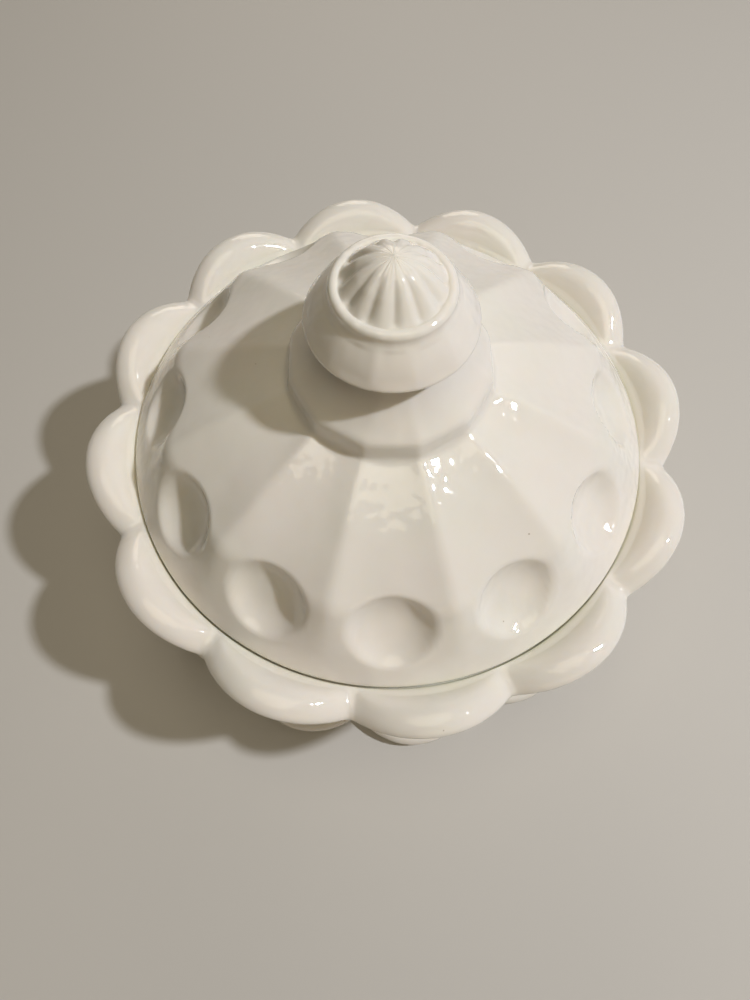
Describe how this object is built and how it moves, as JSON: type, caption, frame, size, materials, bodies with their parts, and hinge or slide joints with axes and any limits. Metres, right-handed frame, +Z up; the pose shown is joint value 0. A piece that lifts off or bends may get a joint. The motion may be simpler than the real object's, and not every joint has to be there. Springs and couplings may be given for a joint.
{
  "type": "covered glass dish",
  "caption": "Round covered dish in opaque white glass: a petal-edged bowl on a petal-edged foot, and a panelled lid with thumbprints and a stepped finial that lifts off.",
  "frame": {"origin": "centre of the ring that the foot rests on, at table height", "axes": "+Z up along the dish's own axis; -Y is the front, where a notch of the scalloped rim lies; +X to the right"},
  "size_m": [0.1616, 0.1616, 0.1276],
  "materials": {
    "bowl_glass": "opaque white pressed glass, fire-polished to a gloss",
    "lid_glass": "opaque white pressed glass, fire-polished to a gloss"
  },
  "bodies": {
    "bowl": {"bowl": "bowl_glass"},
    "lid": {"lid": "lid_glass"}
  },
  "joints": [
    {"name": "lid_lift", "type": "slide", "parent": "bowl", "child": "lid", "axis": [0, 0, 1], "range_m": [0, 0.08]}
  ]
}
